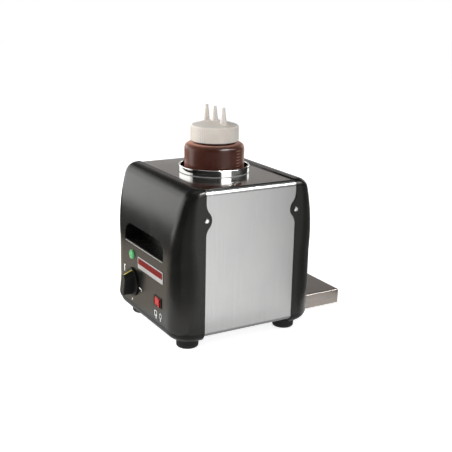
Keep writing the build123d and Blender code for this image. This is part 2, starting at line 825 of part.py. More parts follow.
def switch_rocker():
    # Shallow V face over a boss with pivot pins, tipped so that its left half is pressed.
    half = rocker_length / 2
    under = rocker_pivot - rocker_under
    outline = Polyline(
        (-half, rocker_crest),
        (0, rocker_pivot + rocker_level),
        (half, rocker_crest),
        (half - rocker_taper, under),
        (rocker_taper - half, under),
        close=True,
    )
    side = rocker_width / 2
    rocker = extrude(Rot(180, 0, 0) * make_face(outline), side, both=True)
    ends = [e for e in rocker.edges().filter_by(Axis.Z) if e.center().Y < -rocker_crest + 0.1]
    rocker = fillet(ends, 0.6)
    rocker += block(-rocker_hub, rocker_hub, -under - 0.5, 0, -side, side)
    rocker += post(rocker_hub, -side, side)
    rocker += post(rocker_pin, -side - rocker_pin_reach, side + rocker_pin_reach)
    return Pos(switch_x, pivot_y, switch_z) * Rot(0, 0, -rocker_throw / 2) * rocker


# Supply: gland on the rear cap, terminals and earth stud on the base plate

def cable_gland():
    body = hex_y(gland_flats, rear_face, rear_face + gland_flange, gland_x, gland_z)
    body += pin_y(gland_thread, rear_face - cap_wall - 8, rear_face + gland_flange + 6, gland_x, gland_z)
    return body - pin_y(gland_bore, rear_face - 30, rear_face + 30, gland_x, gland_z)


def gland_cap_nut():
    start = rear_face + gland_flange
    dome = turned(
        (0, 0),
        (gland_flats / 2, 0),
        (gland_flats / 2, gland_dome * 0.55),
        (gland_thread, gland_dome),
        (0, gland_dome),
    )
    nut_shape = dome & extrude(hexagon(gland_flats * 0.97), gland_dome)
    nut_shape -= post(gland_thread, -1, 6)
    nut_shape -= post(gland_bore, -1, gland_dome + 1)
    return Pos(gland_x, start, gland_z) * Rot(-90, 0, 0) * nut_shape


def gland_locknut():
    start = rear_face - cap_wall - 4
    ring = hex_y(gland_flats, start, rear_face - cap_wall, gland_x, gland_z)
    return ring - pin_y(gland_thread, start - 1, rear_face, gland_x, gland_z)


def terminal_block():
    body = block(
        gland_x - block_width / 2, gland_x + block_width / 2,
        block_y - block_length / 2, block_y + block_length / 2,
        base_high, base_high + block_height,
    )
    for k in (-1, 0, 1):
        y = block_y + k * block_length / 3
        for dx in (-block_width / 4, block_width / 4):
            body -= post(2.4, base_high + 5, base_high + block_height + 1, gland_x + dx, y)
        ends = (gland_x - block_width / 2 - 1, gland_x + block_width / 2 + 1)
        body -= pin_x(1.6, *ends, y, base_high + 5)
    return body


def earth_stud():
    x, y = stud_place
    stud = post(stud_radius, base_low, base_high + stud_height, x, y)
    return stud + nut(8, stud_radius - 0.5, base_high, 4, x, y)


# Rear shelf: a folded sheet with its skirts down and a tongue under the rear cap

def rear_shelf():
    half = shelf_width / 2
    body = block(-half, half, shelf_front, shelf_rear, shelf_bottom, shelf_top)
    upright = [e for e in body.edges().filter_by(Axis.Z) if e.center().Y > shelf_rear - 1]
    body = fillet(upright, shelf_bend)
    roof = body.faces().sort_by(Axis.Z)[-1]
    body = fillet([e for e in roof.edges() if e.center().Y > shelf_front + 1], shelf_bend)
    body = offset(body, -shelf_gauge, openings=body.faces().sort_by(Axis.Z)[0])
    tongue_top = cap_bottom
    tongue_low = tongue_top - shelf_gauge
    body -= block(-half - 1, half + 1, shelf_front - 1, shelf_front + shelf_gauge, 0, tongue_low)
    reach = shelf_front - shelf_tongue
    tongue = block(-half + 6, half - 6, reach, shelf_front + shelf_gauge, tongue_low, tongue_top)
    front = [e for e in tongue.edges().filter_by(Axis.Z) if e.center().Y < reach + 1]
    body += fillet(front, 8.0)
    for x in (-shelf_screw_x, shelf_screw_x):
        body -= post(shelf_screw_radius + screw_clearance, 0, cap_bottom + 1, x, shelf_screw_y)
    return body


def shelf_screw(x):
    seat = cap_bottom - shelf_gauge
    shank = post(shelf_screw_radius, seat, base_low - 3, x, shelf_screw_y)
    head = post(shelf_head_radius, seat - shelf_head_height, seat, x, shelf_screw_y)
    return shank + chamfer(head.edges().sort_by(Axis.Z)[0], 0.8)


# Squeeze bottle, sauce and screw cap

def bottle_outline(inset):
    # Half section: heel, wall, shoulder, drawn in by the wall's thickness.
    radius = bottle_radius - inset
    low = well_floor + inset
    high = shoulder_z - inset
    heel = heel_radius - inset
    top = shoulder_radius - inset
    return radius, low, high, heel, top


def bottle_half(inset, top_z, neck):
    radius, low, high, heel, shoulder = bottle_outline(inset)
    return make_face([
        Line((0, low), (radius - heel, low)),
        TangentArc((radius - heel, low), (radius, low + heel), tangent=(1, 0)),
        Line((radius, low + heel), (radius, high - shoulder)),
        TangentArc((radius, high - shoulder), (radius - shoulder, high), tangent=(0, 1)),
        Line((radius - shoulder, high), (neck, high)),
        Line((neck, high), (neck, top_z)),
        Line((neck, top_z), (0, top_z)),
        Line((0, top_z), (0, low)),
    ])


def bottle_shell():
    mouth = shoulder_z + neck_height
    outer = revolve(Plane.XZ * bottle_half(0.0, mouth, neck_radius), Axis.Z)
    inner = revolve(Plane.XZ * bottle_half(bottle_wall, mouth + 1, neck_radius - bottle_wall), Axis.Z)
    return outer - inner


def sauce_fill():
    inset = bottle_wall + fill_gap
    fill = revolve(Plane.XZ * bottle_half(inset, shoulder_z, neck_radius - inset), Axis.Z)
    return fill - post(body_width, shoulder_z - fill_below_shoulder, shoulder_z + 50)


def spout(x):
    # Tapered spout whose bore follows it down through the cap's crown.
    low = cap_deck - 1.0
    high = cap_deck + spout_cap_crown + spout_height - 1.5
    return Pos(x, 0, 0) * turned((0, low), (spout_base, low), (spout_tip, high), (0, high))


def spout_room(x):
    low = cap_deck - spout_cap_wall - 2
    high = cap_deck + spout_cap_crown + spout_height
    return Pos(x, 0, 0) * turned((0, low), (spout_base - spout_wall, low), (spout_bore, high), (0, high))


def spout_web():
    # Upright rib that dips between the spouts.
    low = cap_deck
    crest = cap_deck + spout_cap_crown + web_height
    dip = crest - web_height * web_dip
    half = spout_spacing / 2
    arches = [
        ThreePointArc((-2 * half, crest), (-half, dip), (0, crest)),
        ThreePointArc((0, crest), (half, dip), (2 * half, crest)),
    ]
    sides = [
        Line((2 * half, crest), (2 * half, low)),
        Line((2 * half, low), (-2 * half, low)),
        Line((-2 * half, low), (-2 * half, crest)),
    ]
    return extrude(Plane.XZ * make_face(arches + sides), web_thickness / 2, both=True)


def spout_cap():
    core = spout_cap_radius - rib_proud
    crown = cap_deck + spout_cap_crown
    shell = turned(
        (0, cap_low),
        (core, cap_low),
        (core, cap_deck - 1.5),
        (core - 1.5, cap_deck),
        (crown_flat, crown),
        (0, crown),
    )
    ribs = Sketch() + PolarLocations(core, rib_count) * Rectangle(2 * rib_proud, rib_width)
    shell += extrude(Pos(0, 0, cap_low + 0.6) * ribs, spout_cap_skirt - 3.5)
    row = Rot(0, 0, spout_turn)
    places = (-spout_spacing, 0.0, spout_spacing)
    for x in places:
        shell += row * spout(x)
    shell += row * spout_web()
    bore = neck_radius + thread_room
    deck = cap_deck - spout_cap_wall
    shell -= turned(
        (0, cap_low - 1),
        (bore, cap_low - 1),
        (bore, deck),
        (crown_flat, crown - spout_cap_wall),
        (0, crown - spout_cap_wall),
    )
    for x in places:
        shell -= row * spout_room(x)
    return shell


def cap_seal():
    # Soft ring between the bottle's mouth and the underside of the cap.
    low = shoulder_z + neck_height + 0.3
    bore = neck_radius + thread_room
    return flat_ring(neck_radius - 6, bore - 0.1, low, cap_deck - spout_cap_wall)


# Every piece, by the name of its node
pieces = {
    "front_cap": front_cap(),
    "rear_cap": rear_cap(),
    "steel_cover": steel_cover(),
    "base_plate": base_plate(),
    "feet": Compound([foot(x, y).solid() for x, y in four_corners(foot_x, foot_y)]),
    "foot_screws": Compound([foot_screw(x, y).solid() for x, y in four_corners(foot_x, foot_y)]),
    "foot_nuts": Compound([
        nut(foot_nut_flats, foot_screw_radius, base_high, foot_nut_height, x, y).solid()
        for x, y in four_corners(foot_x, foot_y)
    ]),
    "ear_screws": every_ear(ear_screw),
    "ear_nuts": every_ear(ear_nut),
    "well_pot": well_pot(),
    "pot_gasket": pot_gasket(),
    "pot_retaining_ring": pot_retaining_ring(),
    "pot_stand": pot_stand(),
    "stand_screws": Compound([
        stand_screw(x, y).solid() for x, y in four_corners(stand_screw_x, stand_screw_y)
    ]),
    "heater_band": heater_band(),
    "heater_clamp_screw": heater_clamp_screw(),
    "insulation_sleeve": insulation_sleeve(),
    "thermal_cutout": thermal_cutout(),
    "thermostat_body": thermostat_body(),
    "thermostat_nut": thermostat_nut(),
    "capillary_tube": capillary_tube(),
    "bulb_clip": bulb_clip(),
    "thermostat_knob": thermostat_knob(),
    "knob_index": knob_index(),
    "thermostat_shaft": thermostat_shaft(),
    "pilot_lens": pilot_lens(),
    "pilot_lamp": pilot_lamp(),
    "switch_housing": switch_housing(),
    "switch_rocker": switch_rocker(),
    "cable_gland": cable_gland(),
    "gland_cap_nut": gland_cap_nut(),
    "gland_locknut": gland_locknut(),
    "terminal_block": terminal_block(),
    "earth_stud": earth_stud(),
    "rear_shelf": rear_shelf(),
    "shelf_screws": Compound([shelf_screw(x).solid() for x in (-shelf_screw_x, shelf_screw_x)]),
    "bottle_shell": bottle_shell(),
    "sauce_fill": sauce_fill(),
    "spout_cap": spout_cap(),
    "cap_seal": cap_seal(),
}

os.makedirs("parts", exist_ok=True)
for name, shape in pieces.items():
    export_step(Pos(0, -origin_y, 0) * shape, f"parts/{name}.step")
print("origin lies", round(origin_y, 2), "mm behind the well's axis")
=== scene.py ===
import math
import bpy
import numpy as np
from mathutils import Matrix, Vector


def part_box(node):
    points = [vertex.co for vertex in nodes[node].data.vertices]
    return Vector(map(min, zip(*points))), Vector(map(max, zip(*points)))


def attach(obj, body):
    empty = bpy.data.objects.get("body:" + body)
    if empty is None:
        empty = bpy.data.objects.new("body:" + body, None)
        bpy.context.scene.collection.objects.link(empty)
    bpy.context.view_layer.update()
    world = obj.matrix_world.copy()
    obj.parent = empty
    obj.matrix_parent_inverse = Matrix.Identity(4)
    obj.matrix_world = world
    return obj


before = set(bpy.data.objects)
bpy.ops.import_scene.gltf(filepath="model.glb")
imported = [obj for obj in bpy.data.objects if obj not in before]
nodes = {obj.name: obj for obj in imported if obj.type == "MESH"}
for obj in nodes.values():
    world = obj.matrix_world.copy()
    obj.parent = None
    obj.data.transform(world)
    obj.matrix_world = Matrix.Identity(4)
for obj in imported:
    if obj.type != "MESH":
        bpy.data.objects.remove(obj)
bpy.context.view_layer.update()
print("frame loaded with", len(nodes), "pieces")

# Places that the frame gives, in metres
bottleLow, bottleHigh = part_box("bottle_shell")
wellAxis = ((bottleLow.x + bottleHigh.x) / 2, (bottleLow.y + bottleHigh.y) / 2)
bottleRadius = (bottleHigh.x - bottleLow.x) / 2
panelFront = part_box("front_cap")[0].y
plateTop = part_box("steel_cover")[1].z
shaftLow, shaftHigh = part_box("thermostat_shaft")
knobCentre = ((shaftLow.x + shaftHigh.x) / 2, (shaftLow.z + shaftHigh.z) / 2)
switchLow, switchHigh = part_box("switch_housing")
switchCentre = ((switchLow.x + switchHigh.x) / 2, (switchLow.z + switchHigh.z) / 2)


# Tools for materials

def linear(code):
    # sRGB hex to linear colour with alpha
    parts = [int(code[i:i + 2], 16) / 255 for i in (1, 3, 5)]
    return [c / 12.92 if c <= 0.04045 else ((c + 0.055) / 1.055) ** 2.4 for c in parts] + [1.0]


def perMetre(size):
    # texture scale for a pattern of this size in millimetres
    return 1000 / size


def addNode(tree, kind, links=None, values=None, **settings):
    node = tree.nodes.new("ShaderNode" + kind)
    for name, setting in settings.items():
        setattr(node, name, setting)
    for socket, value in (values or {}).items():
        node.inputs[socket].default_value = linear(value) if isinstance(value, str) else value
    for socket, source in (links or {}).items():
        tree.links.new(source.outputs[0] if hasattr(source, "outputs") else source, node.inputs[socket])
    return node


def emptyTree(owner):
    # node tree of a material or a world, with nothing in it yet
    owner.use_nodes = True
    owner.node_tree.nodes.clear()
    return owner.node_tree


noiseUse = {"shades": (0.35, 0.65), "rough": (0.3, 0.7)}  # noise levels that give each look's two ends
reliefDepth = 0.0002  # metres from the bottom of the grain to its top


def makeFinish(name, look):
    # Noise in clouds is mixed with noise drawn out along the grain. The mix moves the colour between two
    # shades and the roughness between two levels, and the grain alone gives the relief
    material = bpy.data.materials.new(name)
    tree = emptyTree(material)
    shader = addNode(tree, "BsdfPrincipled", values=look["shader"])
    addNode(tree, "OutputMaterial", {"Surface": shader})
    place = addNode(tree, "TexCoord").outputs["Object"]
    drawnOut = addNode(tree, "Mapping", {"Vector": place}, {"Scale": look.get("stretch", (1, 1, 1))})
    cloud = addNode(tree, "TexNoise", {"Vector": place},
                    {"Scale": perMetre(look["cloud"]), "Detail": 3.0})
    grain = addNode(tree, "TexNoise", {"Vector": drawnOut},
                    {"Scale": perMetre(look["grain"]), "Detail": 2.0})
    both = addNode(tree, "Mix", {"A": cloud, "B": grain}, {"Factor": look["grainShare"]})
    shade = addNode(tree, "ValToRGB", {"Fac": both})
    for end, level, colour in zip(shade.color_ramp.elements, noiseUse["shades"], look["colours"]):
        end.position = level
        end.color = linear(colour)
    least, most = noiseUse["rough"]
    low, high = look["rough"]
    rough = addNode(tree, "MapRange", {"Value": both},
                    {"From Min": least, "From Max": most, "To Min": low, "To Max": high})
    if "rubbed" in look:
        foot, head = look["rubbed"]["between"]
        height = addNode(tree, "SeparateXYZ", {"Vector": place}).outputs["Z"]
        change = addNode(tree, "MapRange", {"Value": height},
                         {"From Min": foot, "From Max": head, "To Max": look["rubbed"]["change"]})
        rough = addNode(tree, "Math", {0: rough, 1: change}, operation="ADD")
    relief = addNode(tree, "Bump", {"Height": grain},
                     {"Strength": look["relief"], "Distance": reliefDepth})
    tree.links.new(shade.outputs["Color"], shader.inputs["Base Color"])
    tree.links.new(rough.outputs[0], shader.inputs["Roughness"])
    tree.links.new(relief.outputs["Normal"], shader.inputs["Normal"])
    return material


# Finishes

# Moulded ABS with a spark-eroded grain: satin black that shows soft broad highlights
# (the grain is drawn at 1.5 mm, three times as coarse as it is)
blackMoulding = {
    "shader": {"IOR": 1.5, "Specular IOR Level": 0.365, "Specular Tint": "#fffcf6"},
    "colours": ("#121211", "#191918"), "rough": (0.22, 0.28),
    "cloud": 35, "grain": 1.5, "grainShare": 0.35, "relief": 0.08,
}
# Stainless sheet brushed up the sides and over the top: fine lines side by side along Y, satin reflections
# (lines are drawn 0.7 mm apart, a few times as coarse as they are; the flat top is wiped smoother)
brushedSheet = {
    "shader": {"Metallic": 1.0},
    "colours": ("#b0b1b0", "#b8b8b7"), "rough": (0.22, 0.26), "stretch": (0.01, 1, 0.01),
    "cloud": 60, "grain": 0.7, "grainShare": 0.5, "relief": 0.015,
    "rubbed": {"between": (plateTop - 0.0011, plateTop - 0.0002), "change": -0.075},
}
# Stainless steel polished on the wheel: near mirror with a faint turned haze
polishedSteel = {
    "shader": {"Metallic": 1.0},
    "colours": ("#ecebe7", "#f4f3f0"), "rough": (0.04, 0.08), "stretch": (1, 1, 4),
    "cloud": 25, "grain": 2.0, "grainShare": 0.3, "relief": 0.01,
}
# Galvanised sheet: dull zinc with pale and dark spangle
zincSheet = {
    "shader": {"Metallic": 1.0},
    "colours": ("#9fa3a6", "#c3c6c8"), "rough": (0.3, 0.5),
    "cloud": 14, "grain": 3.0, "grainShare": 0.3, "relief": 0.05,
}
# Folded stainless sheet brushed along its length: darker and warmer than the sleeve
shelfSteel = {
    "shader": {"Metallic": 1.0},
    "colours": ("#8e8781", "#9c958f"), "rough": (0.28, 0.36), "stretch": (1, 0.02, 1),
    "cloud": 40, "grain": 0.7, "grainShare": 0.6, "relief": 0.1,
}
# Moulded rubber: matt black with a dusty bloom
footRubber = {
    "shader": {"IOR": 1.52, "Specular IOR Level": 0.4},
    "colours": ("#1c1c1c", "#272726"), "rough": (0.6, 0.75),
    "cloud": 9, "grain": 0.9, "grainShare": 0.5, "relief": 0.2,
}
# Bright zinc plating on small turned steel: clean glints with slight cloudiness
screwSteel = {
    "shader": {"Metallic": 1.0},
    "colours": ("#d5d6d6", "#e4e4e2"), "rough": (0.16, 0.26),
    "cloud": 6, "grain": 0.8, "grainShare": 0.4, "relief": 0.04,
}
# Silicone rubber: soft grey, slightly waxy
sealRubber = {
    "shader": {"IOR": 1.41},
    "colours": ("#8d8e8c", "#9b9c99"), "rough": (0.5, 0.62),
    "cloud": 12, "grain": 1.2, "grainShare": 0.4, "relief": 0.08,
}
# Mica heater in a rolled aluminised case: dull silver with brown heat tint in patches
heaterCasing = {
    "shader": {"Metallic": 1.0},
    "colours": ("#a5998a", "#c2c1be"), "rough": (0.35, 0.5), "stretch": (1, 1, 0.05),
    "cloud": 30, "grain": 1.0, "grainShare": 0.4, "relief": 0.08,
}
# Glass-fibre felt: pale fibrous mat with no gloss
insulationFelt = {
    "shader": {"IOR": 1.45, "Specular IOR Level": 0.15},
    "colours": ("#c9c3b2", "#e6e1d4"), "rough": (0.85, 0.95), "stretch": (1, 1, 0.25),
    "cloud": 18, "grain": 1.6, "grainShare": 0.7, "relief": 0.8,
}
# Moulded phenolic: brown-cream, hard and a little shiny
thermostatCasing = {
    "shader": {"IOR": 1.6},
    "colours": ("#b9a98a", "#c7b99c"), "rough": (0.35, 0.45),
    "cloud": 15, "grain": 0.9, "grainShare": 0.4, "relief": 0.05,
}
# Drawn copper tube: warm metal with dull streaks along it
copperTube = {
    "shader": {"Metallic": 1.0},
    "colours": ("#b0704f", "#d08f6a"), "rough": (0.22, 0.4),
    "cloud": 8, "grain": 1.0, "grainShare": 0.4, "relief": 0.05,
}
# Moulded phenolic knob: deep black with a polished skin, faintly cloudy
knobPlastic = {
    "shader": {"IOR": 1.6, "Specular IOR Level": 0.2},
    "colours": ("#0e0e0d", "#151514"), "rough": (0.36, 0.46),
    "cloud": 12, "grain": 1.2, "grainShare": 0.3, "relief": 0.04,
}
# Filled-in paint line: strong yellow, slightly uneven
indexPaint = {
    "shader": {"IOR": 1.5},
    "colours": ("#e6d24a", "#f4e678"), "rough": (0.35, 0.5),
    "cloud": 3, "grain": 0.6, "grainShare": 0.5, "relief": 0.1,
}
# White nylon: off-white, dull
lampBody = {
    "shader": {"IOR": 1.53},
    "colours": ("#dcdad2", "#e9e7e0"), "rough": (0.45, 0.55),
    "cloud": 10, "grain": 0.9, "grainShare": 0.4, "relief": 0.05,
}
# Glass-filled nylon: black with a dry, slightly grainy skin
glandNylon = {
    "shader": {"IOR": 1.53, "Specular IOR Level": 0.4},
    "colours": ("#161616", "#202020"), "rough": (0.45, 0.58),
    "cloud": 9, "grain": 0.8, "grainShare": 0.5, "relief": 0.15,
}
# Screen-printed ink: flat white film with small thin spots
printedInk = {
    "shader": {"IOR": 1.48},
    "colours": ("#e6e6e3", "#f4f3f0"), "rough": (0.5, 0.6),
    "cloud": 2.5, "grain": 0.5, "grainShare": 0.5, "relief": 0.05,
}
# Anodised aluminium foil: satin silver with fine lines along it
plateFoil = {
    "shader": {"Metallic": 1.0},
    "colours": ("#c8ccd6", "#d5d8e1"), "rough": (0.34, 0.42), "stretch": (0.02, 1, 1),
    "cloud": 20, "grain": 0.6, "grainShare": 0.6, "relief": 0.05,
}
# Enamel ink printed on the plate: deep even red with little shine
plateInk = {
    "shader": {"IOR": 1.5, "Specular IOR Level": 0.12},
    "colours": ("#6e0d0a", "#7d120e"), "rough": (0.45, 0.55),
    "cloud": 4, "grain": 0.6, "grainShare": 0.5, "relief": 0.05,
}
# Chocolate sauce: dense, dark and wet
brownSauce = {
    "shader": {"IOR": 1.42, "Subsurface Weight": 0.15, "Subsurface Radius": (0.004, 0.0015, 0.0008),
               "Subsurface Scale": 1.0},
    "colours": ("#4e2a20", "#5b3327"), "rough": (0.25, 0.4),
    "cloud": 22, "grain": 4.0, "grainShare": 0.3, "relief": 0.1,
}
# Natural polyethylene, moulded thin: waxy skin that takes the colour of the sauce behind it
clearBottle = {
    "shader": {"IOR": 1.51, "Specular IOR Level": 0.25, "Transmission Weight": 0.1, "Sheen Weight": 1.0,
               "Sheen Roughness": 0.44, "Sheen Tint": "#ffc0aa"},
    "colours": ("#3a170e", "#482217"), "rough": (0.19, 0.25),
    "cloud": 20, "grain": 1.8, "grainShare": 0.3, "relief": 0.04,
}
# The same polyethylene where it stands out as a scale: a paler skin, clear of the sauce
raisedScale = {
    "shader": {"IOR": 1.51, "Specular IOR Level": 0.3},
    "colours": ("#8c6459", "#9b746a"), "rough": (0.3, 0.4),
    "cloud": 8, "grain": 1.0, "grainShare": 0.4, "relief": 0.04,
}
# The same ABS along the slot's lower edge, painted pale as a highlight where the edge catches the light
slotHighlightPaint = {
    "shader": {"IOR": 1.5, "Specular IOR Level": 0.4},
    "colours": ("#a9a6a1", "#bab7b2"), "rough": (0.3, 0.4),
    "cloud": 20, "grain": 1.0, "grainShare": 0.4, "relief": 0.05,
}
# Natural polyethylene, thicker: off-white and waxy, light soaks in
spoutPlastic = {
    "shader": {"IOR": 1.51, "Subsurface Weight": 0.4, "Subsurface Radius": (0.002, 0.0016, 0.0012),
               "Subsurface Scale": 1.0},
    "colours": ("#eae2d9", "#f0eae3"), "rough": (0.3, 0.4),
    "cloud": 14, "grain": 1.4, "grainShare": 0.3, "relief": 0.05,
}
# Clear green polycarbonate over a lamp: bright, glossy, lit from inside
greenLens = {
    "shader": {"IOR": 1.58, "Transmission Weight": 0.3, "Emission Color": "#62ad70",
               "Emission Strength": 0.25},
    "colours": ("#4aa968", "#68c286"), "rough": (0.08, 0.14),
    "cloud": 5, "grain": 1.2, "grainShare": 0.5, "relief": 0.1,
}
# Translucent red polycarbonate rocker: saturated, glossy
redRocker = {
    "shader": {"IOR": 1.58, "Specular IOR Level": 0.2, "Subsurface Weight": 0.2,
               "Subsurface Radius": (0.004, 0.0006, 0.0006), "Subsurface Scale": 1.0},
    "colours": ("#b4191e", "#c42a2e"), "rough": (0.24, 0.32),
    "cloud": 6, "grain": 1.0, "grainShare": 0.4, "relief": 0.04,
}

finishOf = {
    "mouldedAbs": (blackMoulding, ["front_cap", "rear_cap"]),
    "brushedStainless": (brushedSheet, ["steel_cover"]),
    "polishedStainless": (polishedSteel, ["well_pot"]),
    "galvanisedSheet": (zincSheet, ["base_plate", "pot_stand", "bulb_clip", "pot_retaining_ring"]),
    "shelfStainless": (shelfSteel, ["rear_shelf"]),
    "mouldedRubber": (footRubber, ["feet"]),
    "platedSteel": (screwSteel, ["foot_screws", "foot_nuts", "ear_screws", "ear_nuts", "stand_screws",
                                 "heater_clamp_screw", "thermostat_nut", "thermostat_shaft", "shelf_screws",
                                 "earth_stud"]),
    "siliconeRubber": (sealRubber, ["pot_gasket", "cap_seal"]),
    "aluminisedCase": (heaterCasing, ["heater_band"]),
    "glassFelt": (insulationFelt, ["insulation_sleeve"]),
    "phenolicCase": (thermostatCasing, ["thermostat_body", "thermal_cutout"]),
    "drawnCopper": (copperTube, ["capillary_tube"]),
    "phenolicKnob": (knobPlastic, ["thermostat_knob", "switch_housing"]),
    "yellowPaint": (indexPaint, ["knob_index"]),
    "whiteNylon": (lampBody, ["pilot_lamp", "terminal_block"]),
    "blackNylon": (glandNylon, ["cable_gland", "gland_cap_nut", "gland_locknut"]),
    "chocolateSauce": (brownSauce, ["sauce_fill"]),
    "milkyPolyethylene": (clearBottle, ["bottle_shell"]),
    "whitePolyethylene": (spoutPlastic, ["spout_cap"]),
    "greenPolycarbonate": (greenLens, ["pilot_lens"]),
    "redPolycarbonate": (redRocker, ["switch_rocker"]),
}
for name, (look, members) in finishOf.items():
    material = makeFinish(name, look)
    for member in members:
        nodes[member].data.materials.clear()
        nodes[member].data.materials.append(material)
print("finishes made:", len(finishOf))


# Printed and raised marks: thin closed patches whose outline is a superellipse

outlineSteps = 48
inkFilm = {"height": 0.00008, "bevel": 0.00003}  # metres


def superellipse(halfWide, halfTall, power):
    # once round: across is half the width times cos t, up is half the height times sin t, each of them
    # with its size raised to 2 / power and its sign kept
    t = np.linspace(0, 2 * np.pi, outlineSteps, endpoint=False)
    c, s = np.cos(t), np.sin(t)
    return np.stack([halfWide * np.sign(c) * np.abs(c) ** (2 / power),
                     halfTall * np.sign(s) * np.abs(s) ** (2 / power)], axis=1)


def onPanel(flat, height, centre):
    # flat outline in X and Z, laid on the panel and raised towards the front
    depth = np.full(len(flat), panelFront) - height
    return np.stack([centre[0] + flat[:, 0], depth, centre[1] + flat[:, 1]], axis=1)


def meshPiece(name, points, faces, material, body):
    mesh = bpy.data.meshes.new(name)
    mesh.from_pydata(points.tolist(), [], faces)
    mesh.materials.append(material)
    piece = bpy.data.objects.new(name, mesh)
    bpy.context.scene.collection.objects.link(piece)
    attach(piece, body)


def bandFaces(rows, count):
    # quads between neighbouring closed loops of points
    r, k = np.meshgrid(np.arange(rows - 1), np.arange(count), indexing="ij")
    n = (k + 1) % count
    quads = [r * count + k, r * count + n, (r + 1) * count + n, (r + 1) * count + k]
    return np.stack(quads, axis=-1).reshape(-1, 4).tolist()


def patch(name, centre, outline, film, material, foot=0.0):
    # closed patch: foot loop, shoulder loop, drawn-in top loop, and a middle point below and above
    wide, tall = outline["half"]
    height, bevel = film["height"], film["bevel"]
    rows = [(0.0, 0.0), (0.0, height - bevel), (bevel, height)]
    c, s = math.cos(outline.get("turn", 0.0)), math.sin(outline.get("turn", 0.0))
    spin = np.array([[c, s], [-s, c]])
    loops = [onPanel(superellipse(wide - inset, tall - inset, outline["power"]) @ spin, foot + rise, centre)
             for inset, rise in rows]
    count = outlineSteps
    middle = np.zeros((1, 2))
    points = np.concatenate(loops + [onPanel(middle, foot, centre), onPanel(middle, foot + height, centre)])
    k = np.arange(count)
    n = (k + 1) % count
    top = (len(rows) - 1) * count
    below = np.stack([k, np.full(count, top + count), n], axis=1)
    above = np.stack([top + k, top + n, np.full(count, top + count + 1)], axis=1)
    fans = np.concatenate([below, above]).tolist()
    meshPiece(name, points, bandFaces(len(rows), count) + fans, material, "housing")


def loop(name, centre, sign, material):
    # closed ring of ink: outer wall, top and inner wall, joined again below
    wide, tall = sign["half"]
    line, height = sign["line"], inkFilm["height"]
    rows = [(0.0, 0.0), (0.0, height), (line, height), (line, 0.0), (0.0, 0.0)]
    loops = [onPanel(superellipse(wide - inset, tall - inset, sign["power"]), rise, centre)
             for inset, rise in rows]
    faces = np.array(bandFaces(len(rows), outlineSteps)) % (outlineSteps * (len(rows) - 1))
    meshPiece(name, np.concatenate(loops[:-1]), faces.tolist(), material, "housing")


ink = makeFinish("screenInk", printedInk)
dialMarks = {
    "dialBarLow": {"at": (-0.0295, 0.0135), "half": (0.0014, 0.0056), "power": 8},
    "dialFlagLow": {"at": (-0.0268, 0.0182), "half": (0.0012, 0.0009), "power": 8},
    "dialBarHigh": {"at": (0.0265, -0.0028), "half": (0.0034, 0.0013), "power": 8, "turn": -0.1},
    "dialTick": {"at": (0.0315, -0.0045), "half": (0.0009, 0.0019), "power": 8},
    "dialDot": {"at": (-0.0015, -0.0283), "half": (0.0012, 0.0018), "power": 4},
}
for name, mark in dialMarks.items():
    centre = (knobCentre[0] + mark["at"][0], knobCentre[1] + mark["at"][1])
    patch(name, centre, mark, inkFilm, ink)

switchSigns = {
    "powerSign": {"at": (-0.0075, -0.0195), "half": (0.0040, 0.0042), "power": 7, "line": 0.0014,
                  "stemAt": (0.0018, -0.0062)},
    "lampSign": {"at": (0.008, -0.0195), "half": (0.0034, 0.0042), "power": 2, "line": 0.0008,
                 "stemAt": (0.0, -0.0062)},
}
signStem = {"half": (0.0008, 0.0017), "power": 8}
for name, sign in switchSigns.items():
    centre = (switchCentre[0] + sign["at"][0], switchCentre[1] + sign["at"][1])
    loop(name, centre, sign, ink)
    stemCentre = (centre[0] + sign["stemAt"][0], centre[1] + sign["stemAt"][1])
    patch(name + "Stem", stemCentre, signStem, inkFilm, ink)
print("marks printed on the panel:", len(dialMarks) + 2 * len(switchSigns))

# Plate left blank, with a plain stripe printed on it
namePlate = {"centre": (0.0235, 0.1013), "half": (0.0415, 0.0088), "power": 24,
             "height": 0.0006, "bevel": 0.0002}
plateStripe = {"rise": 0.0026, "half": (0.0398, 0.0046), "power": 24}
patch("namePlate", namePlate["centre"], namePlate, namePlate, makeFinish("satinFoil", plateFoil))
stripeCentre = (namePlate["centre"][0], namePlate["centre"][1] + plateStripe["rise"])
patch("plateStripe", stripeCentre, plateStripe, inkFilm, makeFinish("redEnamel", plateInk),
      foot=namePlate["height"])

# Painted highlight: a pale line along the slot's lower edge, standing in for the light that the edge catches
slotHighlight = {"centre": (0.0, 0.1243), "half": (0.062, 0.00048), "power": 12,
            "height": 0.00015, "bevel": 0.00005}
patch("slotHighlight", slotHighlight["centre"], slotHighlight, slotHighlight, makeFinish("rubbedAbs", slotHighlightPaint))
print("plate, stripe and slot edge made")

# Scale moulded on the bottle: each mark is a box wrapped on the wall, whose eight corners are all signs of
# (up, along the wall, outward), and every fifth one is longer
fillScale = {"turn": 22.0, "low": 0.117, "high": 0.266, "step": 0.0044, "half": (0.0031, 0.0005),
             "sunk": 0.0002, "raised": 0.0004, "longEvery": 5, "longTimes": 1.4}
levels = np.arange(fillScale["high"], fillScale["low"], -fillScale["step"])
isLong = np.arange(len(levels)) % fillScale["longEvery"] == 0
halfWide = fillScale["half"][0] * np.where(isLong, fillScale["longTimes"], 1.0)
up, along, outward = np.meshgrid((-1, 1), (-1, 1), (-1, 1), indexing="ij")
turn = math.radians(fillScale["turn"]) + halfWide[:, None] * along.ravel() / bottleRadius
reach = bottleRadius + np.where(outward.ravel() > 0, fillScale["raised"], -fillScale["sunk"])
marks = np.stack([wellAxis[0] + reach * np.cos(turn), wellAxis[1] + reach * np.sin(turn),
                  levels[:, None] + fillScale["half"][1] * up.ravel()], axis=-1)
boxFaces = np.array([(0, 4, 6, 2), (1, 3, 7, 5), (0, 1, 5, 4), (2, 6, 7, 3), (0, 2, 3, 1), (4, 5, 7, 6)])
